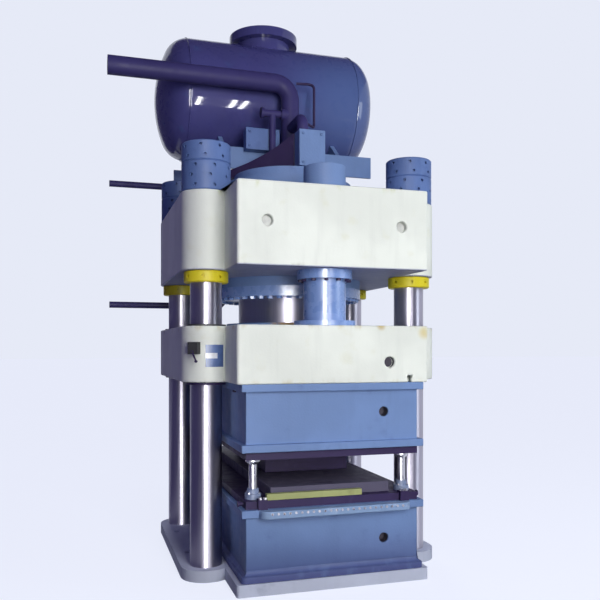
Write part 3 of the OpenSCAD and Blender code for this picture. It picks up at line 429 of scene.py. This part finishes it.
OWN_FINISH = {
    "bed_plate": bed_paint,
    "post_collars": collar_paint,
    "front_apron": apron_paint,
    "lower_die": die_scale,
    # Painted shade: the pilot block takes the darker slate enamel in place of its pale blue.
    "pilot_block": MATERIALS["nut_paint"],
}
for oily in ("main_gland", "main_gland_bolts", "return_gland_front", "return_gland_rear"):
    OWN_FINISH[oily] = oily_blue
for oily in ("return_ram_front", "return_ram_rear"):
    OWN_FINISH[oily] = oily_blue
for pipe in ("pressure_pipe", "pilot_pipe", "return_pipe", "drain_pipe", "block_elbow"):
    OWN_FINISH[pipe] = pipe_paint


def wear(obj, slot, material=None):
    """Give an object the finish of a slot, or a material of its own instead."""
    obj.data.materials.clear()
    obj.data.materials.append(material or MATERIALS[slot])


for name, node in nodes.items():
    wear(node, slot_of_node[name], OWN_FINISH.get(name))


# Softened copies of the castings

SMOOTH_ANGLE = 35
BEVEL_ANGLE = 40
FLAT_ANGLE = 0.5
MERGE_DISTANCE = 1e-5
EDGE_SEGMENTS = 3
EDGE_WIDTHS = {
    "crown": 0.012,
    "slide": 0.012,
    "lower_box": 0.006,
    "upper_box": 0.006,
    "front_apron": 0.008,
    "valve_block": 0.006,
    "pilot_block": 0.006,
    "lower_die": 0.004,
    "upper_mould": 0.004,
}


def smooth(mesh, angle=SMOOTH_ANGLE):
    for polygon in mesh.polygons:
        polygon.use_smooth = True
    mesh.set_sharp_from_angle(angle=math.radians(angle))


def soften(name, width):
    """A copy of a CAD node with round edges, shown in its place."""
    mesh = nodes[name].data.copy()
    if "custom_normal" in mesh.attributes:
        mesh.attributes.remove(mesh.attributes["custom_normal"])
    bm = bmesh.new()
    bm.from_mesh(mesh)
    bmesh.ops.remove_doubles(bm, verts=bm.verts, dist=MERGE_DISTANCE)
    bmesh.ops.dissolve_limit(bm, angle_limit=math.radians(FLAT_ANGLE), verts=bm.verts, edges=bm.edges)
    bm.to_mesh(mesh)
    bm.free()
    smooth(mesh)
    obj = bpy.data.objects.new(name + "_soft", mesh)
    scene.collection.objects.link(obj)
    bevel = obj.modifiers.new("round edges", "BEVEL")
    bevel.width = width
    bevel.segments = EDGE_SEGMENTS
    bevel.limit_method = "ANGLE"
    bevel.angle_limit = math.radians(BEVEL_ANGLE)
    bevel.use_clamp_overlap = False
    bevel.harden_normals = True
    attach(obj, body_of_node[name])
    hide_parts(name)
    wear(obj, slot_of_node[name], OWN_FINISH.get(name))


for casting, edge_width in EDGE_WIDTHS.items():
    soften(casting, edge_width)


# Shapes of the small fittings

# Shading angle of bolts and screws, whose facets and chamfers stay crisp
HARD_ANGLE = 20

# An axis with more than this along z counts as upright
UPRIGHT = 0.9

# A hexagon head's sides and chamfered top, as shares of its radius
HEAD_SIDE, HEAD_TOP, HEAD_TOP_R = 0.9, 1.1, 0.8


def piece(name, shape, body, slot, material=None, angle=SMOOTH_ANGLE):
    """A detail mesh of a shape's (verts, faces), in the frame of the part, that rides a body."""
    verts, faces = shape
    mesh = bpy.data.meshes.new(name)
    mesh.from_pydata([tuple(v) for v in verts], [], faces)
    bm = bmesh.new()
    bm.from_mesh(mesh)
    bmesh.ops.recalc_face_normals(bm, faces=bm.faces)
    bm.to_mesh(mesh)
    bm.free()
    smooth(mesh, angle)
    obj = bpy.data.objects.new(name, mesh)
    scene.collection.objects.link(obj)
    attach(obj, body)
    wear(obj, slot, material)


def joined(shapes):
    """One shape of several."""
    verts, faces = [], []
    for more_verts, more_faces in shapes:
        first = len(verts)
        faces += [tuple(first + i for i in face) for face in more_faces]
        verts += more_verts
    return verts, faces


def square_to(axis):
    """Two directions square to an axis."""
    other = Vector((0, 0, 1)) if abs(axis.z) < UPRIGHT else Vector((1, 0, 0))
    side = axis.cross(other).normalized()
    return side, axis.cross(side)


def lathe(profile, centre, axis, around=48, closed=False, mouth=False):
    """(radius, height) points turned about an axis; closed joins the last to the first,
    and a mouth is left open at the last."""
    axis = Vector(axis).normalized()
    u, v = square_to(axis)
    verts, faces = [], []
    for radius, height in profile:
        for k in range(around):
            turn = 2 * math.pi * k / around
            verts.append(Vector(centre) + axis * height + (u * math.cos(turn) + v * math.sin(turn)) * radius)
    rows = len(profile)
    for row in range(rows if closed else rows - 1):
        a = row * around
        b = (row + 1) % rows * around
        for k in range(around):
            n = (k + 1) % around
            faces.append((a + k, a + n, b + n, b + k))
    if not closed:
        faces.append(tuple(range(around)))
        if not mouth:
            faces.append(tuple(range((rows - 1) * around, rows * around)))
    return verts, faces


def tube_along(points, radius, around=16):
    """A round bar through a list of points."""
    verts, faces = [], []
    last = len(points) - 1
    side = None
    for k, point in enumerate(points):
        along = (points[min(k + 1, last)] - points[max(k - 1, 0)]).normalized()
        if side is None:
            side = square_to(along)[0]
        side = (side - along * side.dot(along)).normalized()
        up = along.cross(side)
        for j in range(around):
            turn = 2 * math.pi * j / around
            verts.append(point + (side * math.cos(turn) + up * math.sin(turn)) * radius)
    for k in range(last):
        a = k * around
        b = (k + 1) * around
        for j in range(around):
            n = (j + 1) % around
            faces.append((a + j, a + n, b + n, b + j))
    faces.append(tuple(range(around)))
    faces.append(tuple(range(last * around, (last + 1) * around)))
    return verts, faces


def rounded_path(corners, radius, steps=8):
    """Points along straight runs with round bends at the inner corners."""
    corners = [Vector(c) for c in corners]
    path = [corners[0]]
    for before, here, after in zip(corners, corners[1:], corners[2:]):
        a = here + (before - here).normalized() * radius
        b = here + (after - here).normalized() * radius
        for k in range(steps + 1):
            t = k / steps
            path.append(a * (1 - t) ** 2 + here * 2 * t * (1 - t) + b * t ** 2)
    path.append(corners[-1])
    return path


def bolt_ring(centre, axis, radius, count, head_r):
    """Hexagon heads round a flange, the first half a step on."""
    u, v = square_to(Vector(axis))
    profile = [(head_r, 0), (head_r, head_r * HEAD_SIDE), (head_r * HEAD_TOP_R, head_r * HEAD_TOP)]
    heads = []
    for k in range(count):
        turn = 2 * math.pi * (k + 0.5) / count
        place = Vector(centre) + (u * math.cos(turn) + v * math.sin(turn)) * radius
        heads.append(lathe(profile, place, axis, around=6))
    return joined(heads)


def curved_plate(centre, radius, middle, width, low, high, thick, steps=12):
    """A thin plate bent round an upright cylinder; middle is its angle from the front, towards the right."""
    half = width / radius / 2
    verts, faces = [], []
    for k in range(steps + 1):
        turn = math.radians(middle) - half + 2 * half * k / steps
        out = Vector((math.sin(turn), -math.cos(turn), 0))
        for r, z in ((radius, low), (radius + thick, low), (radius + thick, high), (radius, high)):
            verts.append(Vector((centre.x, centre.y, z)) + out * r)
    for k in range(steps):
        for j in range(4):
            n = (j + 1) % 4
            faces.append((4 * k + j, 4 * k + n, 4 * k + 4 + n, 4 * k + 4 + j))
    faces.append((0, 1, 2, 3))
    faces.append(tuple(4 * steps + j for j in (3, 2, 1, 0)))
    return verts, faces


# Painted shade in the lifting holes: a dark cup with a floor, that stays off the bore and short of its mouth

MM_IN_M = 1000
SHADE_CUP_GAP = 0.0006
SHADE_CUP_FLOOR = 0.006
SHADE_CUP_EYE_R = 0.002
SHADE_CUP_SHORT = 0.012

for mount_name, node, material in (
    ("crown_lift_left", "crown", crown_hole_shade),
    ("crown_lift_right", "crown", crown_hole_shade),
    ("slide_lift", "slide", hole_shade),
    ("upper_box_lift", "upper_box", hole_shade),
    ("lower_box_lift", "lower_box", hole_shade),
):
    mount = mounts[mount_name]
    r = mount["dims"]["r_mm"] / MM_IN_M - SHADE_CUP_GAP
    depth = mount["dims"]["length_mm"] / MM_IN_M
    inner_end = Vector(mount["pos_m"]) - Vector(mount["axis"]) * depth / 2
    cup = [(SHADE_CUP_EYE_R, SHADE_CUP_FLOOR), (r, SHADE_CUP_FLOOR), (r, depth - SHADE_CUP_SHORT)]
    piece(mount_name + "_shade_cup", lathe(cup, inner_end, mount["axis"], mouth=True),
          body_of_node[node], slot_of_node[node], material)

# Bare plate on the slide's near boss, with a bare strip on it

PLATE_GAP, PLATE_T = 0.0006, 0.003
PLATE_W, PLATE_H = 0.145, 0.17
PLATE_TURN = 10
PLATE_LEVEL = 0.47
STRIP_GAP, STRIP_T = 0.0002, 0.001
STRIP_W = 0.096
STRIP_DOWN, STRIP_UP = 0.02, 0.022
STRIP_TURN = 2

column_low, column_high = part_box("column_front_left")
boss_at = (column_low + column_high) / 2
boss_r = boss_at.x - slide_low.x
plate_z = slide_low.z + PLATE_LEVEL * (slide_high.z - slide_low.z)
plate = curved_plate(boss_at, boss_r + PLATE_GAP, PLATE_TURN, PLATE_W,
                     plate_z - PLATE_H / 2, plate_z + PLATE_H / 2, PLATE_T)
piece("bare_plate", plate, "slide", "nut_paint", plate_blue)
plate_strip = curved_plate(boss_at, boss_r + PLATE_GAP + PLATE_T + STRIP_GAP, STRIP_TURN, STRIP_W,
                           plate_z - STRIP_DOWN, plate_z + STRIP_UP, STRIP_T)
piece("bare_plate_strip", plate_strip, "slide", "nut_paint", plate_white)

# Weld seams round the ends of the tank's shell

SEAM_R = 0.006
SEAM_SIDES = 8
SEAM_FROM_END = 0.27

shell_r = (tank_high.y - tank_low.y) / 2
tank_mid = Vector(((tank_low.x + tank_high.x) / 2, tank_low.y + shell_r, tank_low.z + shell_r))
seam_x = (tank_high.x - tank_low.x) / 2 - SEAM_FROM_END
seam_turns = [2 * math.pi * k / SEAM_SIDES for k in range(SEAM_SIDES)]
bead = [(shell_r + SEAM_R * math.cos(turn), SEAM_R * math.sin(turn)) for turn in seam_turns]
for side, label in ((-1, "left"), (1, "right")):
    seam = lathe(bead, tank_mid + Vector((side * seam_x, 0, 0)), (1, 0, 0), around=96, closed=True)
    piece("tank_seam_" + label, seam, "frame", "navy_paint")

# Thin gauge line from the pressure pipe's bend down to the block's elbow

LINE_R = 0.012
LINE_BEND_R = 0.03

elbow_low, elbow_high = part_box("block_elbow")
pressure_low, pressure_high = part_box("pressure_pipe")
line_z = pressure_high.z - 0.07
line_corners = [
    (pressure_high.x - 0.06, pressure_low.y + 0.14, line_z),
    (pressure_high.x + 0.06, pressure_low.y + 0.12, line_z),
    (pressure_high.x + 0.1, pressure_low.y + 0.1, line_z - 0.02),
    (pressure_high.x + 0.1, pressure_low.y + 0.1, elbow_high.z - 0.02),
    (elbow_high.x - 0.03, elbow_low.y + 0.18, elbow_high.z - 0.03),
]
piece("gauge_line", tube_along(rounded_path(line_corners, LINE_BEND_R), LINE_R), "frame", "dark_steel")

# Bolts on the flanges of the suction spool

SPOOL_FLANGE_T = 0.024
SPOOL_BOLT_CIRCLE_R = 0.117
SPOOL_BOLTS = 8
SPOOL_HEAD_R = 0.011

spool_low, spool_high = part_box("suction_spool")
spool_mid = (spool_low + spool_high) / 2
for label, z, way in (("low", spool_low.z + SPOOL_FLANGE_T, 1), ("high", spool_high.z - SPOOL_FLANGE_T, -1)):
    flange_at = (spool_mid.x, spool_mid.y, z)
    bolts = bolt_ring(flange_at, (0, 0, way), SPOOL_BOLT_CIRCLE_R, SPOOL_BOLTS, SPOOL_HEAD_R)
    piece("spool_bolts_" + label, bolts, "frame", "dark_steel", angle=HARD_ANGLE)

# Socket screws in the corners of the two blocks

SCREW_INSET = 0.035
SCREW_R, SCREW_H = 0.013, 0.01
SCREW_SUNK = 0.004
SCREW_CHAMFER = 0.002
SOCKET_R, SOCKET_FLOOR = 0.006, 0.002

screw = [
    (SCREW_R, -SCREW_SUNK),
    (SCREW_R, SCREW_H - SCREW_CHAMFER),
    (SCREW_R - SCREW_CHAMFER, SCREW_H),
    (SOCKET_R, SCREW_H),
    (SOCKET_R, SOCKET_FLOOR),
]
# The pilot block's screws take the same darker slate enamel, painted shade like the block.
for block, slot in (("valve_block", "pale_blue_paint"), ("pilot_block", "nut_paint")):
    low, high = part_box(block)
    corners = [(x, low.y, z)
               for x in (low.x + SCREW_INSET, high.x - SCREW_INSET)
               for z in (low.z + SCREW_INSET, high.z - SCREW_INSET)]
    screws = joined([lathe(screw, corner, (0, -1, 0), around=24) for corner in corners])
    piece(block + "_screws", screws, "frame", slot, angle=HARD_ANGLE)


# Camera

CAMERA_PLACE = (-1.827, -6.359, 1.79)
CAMERA_TURN = -17

camera_data = bpy.data.cameras.new("camera")
camera_data.sensor_width = 36
camera_data.lens = 43.2
camera_data.shift_y = 0.08
camera_data.clip_end = 300
camera = bpy.data.objects.new("camera", camera_data)
camera.location = CAMERA_PLACE
camera.rotation_euler = (math.radians(90), 0, math.radians(CAMERA_TURN))
scene.collection.objects.link(camera)
scene.camera = camera


# Lamps: the softboxes and the sun light the paint, and the strip and the lamps are there for reflections


def aim(obj, way):
    obj.rotation_euler = Vector(way).to_track_quat("-Z", "Y").to_euler()


def area_light(name, place, target, width, height, power, colour=(1, 1, 1)):
    data = bpy.data.lights.new(name, "AREA")
    data.shape = "RECTANGLE"
    data.size = width
    data.size_y = height
    data.energy = power
    data.color = colour
    obj = bpy.data.objects.new(name, data)
    obj.location = place
    aim(obj, Vector(target) - Vector(place))
    obj.visible_camera = False
    scene.collection.objects.link(obj)
    return obj


softbox = area_light("front softbox", (0.1, -8.6, 3.1), target=(-0.2, 0, 2.3),
                     width=2.6, height=5.4, power=290)
softbox.data.spread = math.radians(140)
softbox.visible_glossy = False

back_data = bpy.data.lights.new("back light", "SUN")
back_data.energy = 2.4
back_data.angle = math.radians(20)
back_light = bpy.data.objects.new("back light", back_data)
aim(back_light, (-0.12, -1, -0.12))
back_light.visible_glossy = False
scene.collection.objects.link(back_light)

area_light("right softbox", (6.2, -4.6, 4.2), target=(0, 0, 2.6),
           width=2.2, height=3.4, power=145, colour=(0.86, 0.95, 1.0))
strip = area_light("left strip", (-2.1, -7.5, 2.5), target=(-0.9, 0.1, 2.4),
                   width=1.8, height=5.0, power=950)
strip.visible_diffuse = False
for label, x, z in (("one", 0.52, 1.7), ("two", 1.232, 1.76), ("three", 1.465, 1.792)):
    lamp = area_light("lamp " + label, (x, -8.2, z), target=(-0.4, 0.2, 4.05),
                      width=0.08, height=2.4, power=45)
    lamp.visible_diffuse = False


# Dim violet cards out of the picture, which darken what the steel and the tank reflect.
# The one on the floor leaves out the floor round the press.

CARD_GLOW = (0.078, 0.07, 0.17, 1)
CARD_LEFT, CARD_FRONT = -3.6, -9.4
CARD_FOOT, CARD_TOP = 0.02, 8
LEFT_CARD_BACK = 10.5
FRONT_CARD_RIGHT = 9
TOP_CARD_RIGHT, TOP_CARD_BACK = 6, 4
FLOOR_CARD_Z = 0.01
FLOOR_CARD_RIGHT, FLOOR_CARD_RIGHT_BACK = 4, -3.1
PRESS_LEFT, PRESS_REACH = -1.3, 1.6


def dark_card(name, corners):
    mesh = bpy.data.meshes.new(name)
    mesh.from_pydata(corners, [], [tuple(range(len(corners)))])
    material = bpy.data.materials.new(name)
    material.use_nodes = True
    tree = material.node_tree
    tree.nodes.clear()
    dim = tree.nodes.new("ShaderNodeEmission")
    dim.inputs["Color"].default_value = CARD_GLOW
    out = tree.nodes.new("ShaderNodeOutputMaterial")
    tree.links.new(dim.outputs["Emission"], out.inputs["Surface"])
    mesh.materials.append(material)
    card = bpy.data.objects.new(name, mesh)
    scene.collection.objects.link(card)
    card.visible_camera = False
    card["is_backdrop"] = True
    return card


def standing(x0, y0, x1, y1):
    """Corners of an upright card between two places on the floor."""
    return [(x0, y0, CARD_FOOT), (x1, y1, CARD_FOOT), (x1, y1, CARD_TOP), (x0, y0, CARD_TOP)]


dark_card("left card", standing(CARD_LEFT, CARD_FRONT, CARD_LEFT, LEFT_CARD_BACK))
dark_card("top card", [
    (CARD_LEFT, CARD_FRONT, CARD_TOP),
    (TOP_CARD_RIGHT, CARD_FRONT, CARD_TOP),
    (TOP_CARD_RIGHT, TOP_CARD_BACK, CARD_TOP),
    (CARD_LEFT, TOP_CARD_BACK, CARD_TOP),
])
dark_card("front card", standing(CARD_LEFT, CARD_FRONT, FRONT_CARD_RIGHT, CARD_FRONT))
floor_card = dark_card("floor card", [
    (CARD_LEFT, CARD_FRONT, FLOOR_CARD_Z),
    (FLOOR_CARD_RIGHT, CARD_FRONT, FLOOR_CARD_Z),
    (FLOOR_CARD_RIGHT, FLOOR_CARD_RIGHT_BACK, FLOOR_CARD_Z),
    (PRESS_LEFT, -PRESS_REACH, FLOOR_CARD_Z),
    (PRESS_LEFT, PRESS_REACH, FLOOR_CARD_Z),
    (CARD_LEFT, PRESS_REACH, FLOOR_CARD_Z),
])
floor_card.visible_shadow = False
floor_card.visible_diffuse = False


# Floor and world, which show one pale background

PALE = srgb(230, 234, 247)
FLOOR_REACH = 120
FLOOR_SHADE = (0.16, 0.16, 0.18, 1)
FLOOR_TONE = 0.965
AMBIENT_COLOUR = (0.52, 0.48, 1.0, 1)
AMBIENT_STRENGTH = 0.2


def background_rays(tree):
    """1 for the rays that show the background: camera, glossy and transmission rays."""
    path = tree.nodes.new("ShaderNodeLightPath")
    total = path.outputs["Is Camera Ray"]
    for kind in ("Is Glossy Ray", "Is Transmission Ray"):
        node = tree.nodes.new("ShaderNodeMath")
        node.operation = "MAXIMUM"
        tree.links.new(total, node.inputs[0])
        tree.links.new(path.outputs[kind], node.inputs[1])
        total = node.outputs["Value"]
    return total


def pale_floor():
    """A floor that glows pale to the rays that see it, and takes a soft shadow."""
    material = bpy.data.materials.new("pale floor")
    material.use_nodes = True
    tree = material.node_tree
    tree.nodes.clear()
    diffuse = tree.nodes.new("ShaderNodeBsdfDiffuse")
    diffuse.inputs["Color"].default_value = FLOOR_SHADE
    glow = tree.nodes.new("ShaderNodeEmission")
    glow.inputs["Color"].default_value = shade(PALE, FLOOR_TONE)
    tree.links.new(background_rays(tree), glow.inputs["Strength"])
    both = tree.nodes.new("ShaderNodeAddShader")
    tree.links.new(diffuse.outputs["BSDF"], both.inputs[0])
    tree.links.new(glow.outputs["Emission"], both.inputs[1])
    out = tree.nodes.new("ShaderNodeOutputMaterial")
    tree.links.new(both.outputs["Shader"], out.inputs["Surface"])
    return material


def studio_world():
    """A dim blue ambient light, and the pale background for the rays that see it."""
    world = bpy.data.worlds.new("studio")
    world.use_nodes = True
    tree = world.node_tree
    tree.nodes.clear()
    ambient = tree.nodes.new("ShaderNodeBackground")
    ambient.inputs["Color"].default_value = AMBIENT_COLOUR
    ambient.inputs["Strength"].default_value = AMBIENT_STRENGTH
    seen = tree.nodes.new("ShaderNodeBackground")
    seen.inputs["Color"].default_value = PALE
    choose = tree.nodes.new("ShaderNodeMixShader")
    tree.links.new(background_rays(tree), choose.inputs["Fac"])
    tree.links.new(ambient.outputs["Background"], choose.inputs[1])
    tree.links.new(seen.outputs["Background"], choose.inputs[2])
    out = tree.nodes.new("ShaderNodeOutputWorld")
    tree.links.new(choose.outputs["Shader"], out.inputs["Surface"])
    return world


floor_mesh = bpy.data.meshes.new("floor")
floor_corners = [(x * FLOOR_REACH, y * FLOOR_REACH, 0) for x, y in ((-1, -1), (1, -1), (1, 1), (-1, 1))]
floor_mesh.from_pydata(floor_corners, [], [(0, 1, 2, 3)])
floor_mesh.materials.append(pale_floor())
floor = bpy.data.objects.new("floor", floor_mesh)
scene.collection.objects.link(floor)
floor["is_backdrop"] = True
scene.world = studio_world()
scene.view_settings.view_transform = "Standard"

low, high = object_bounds()
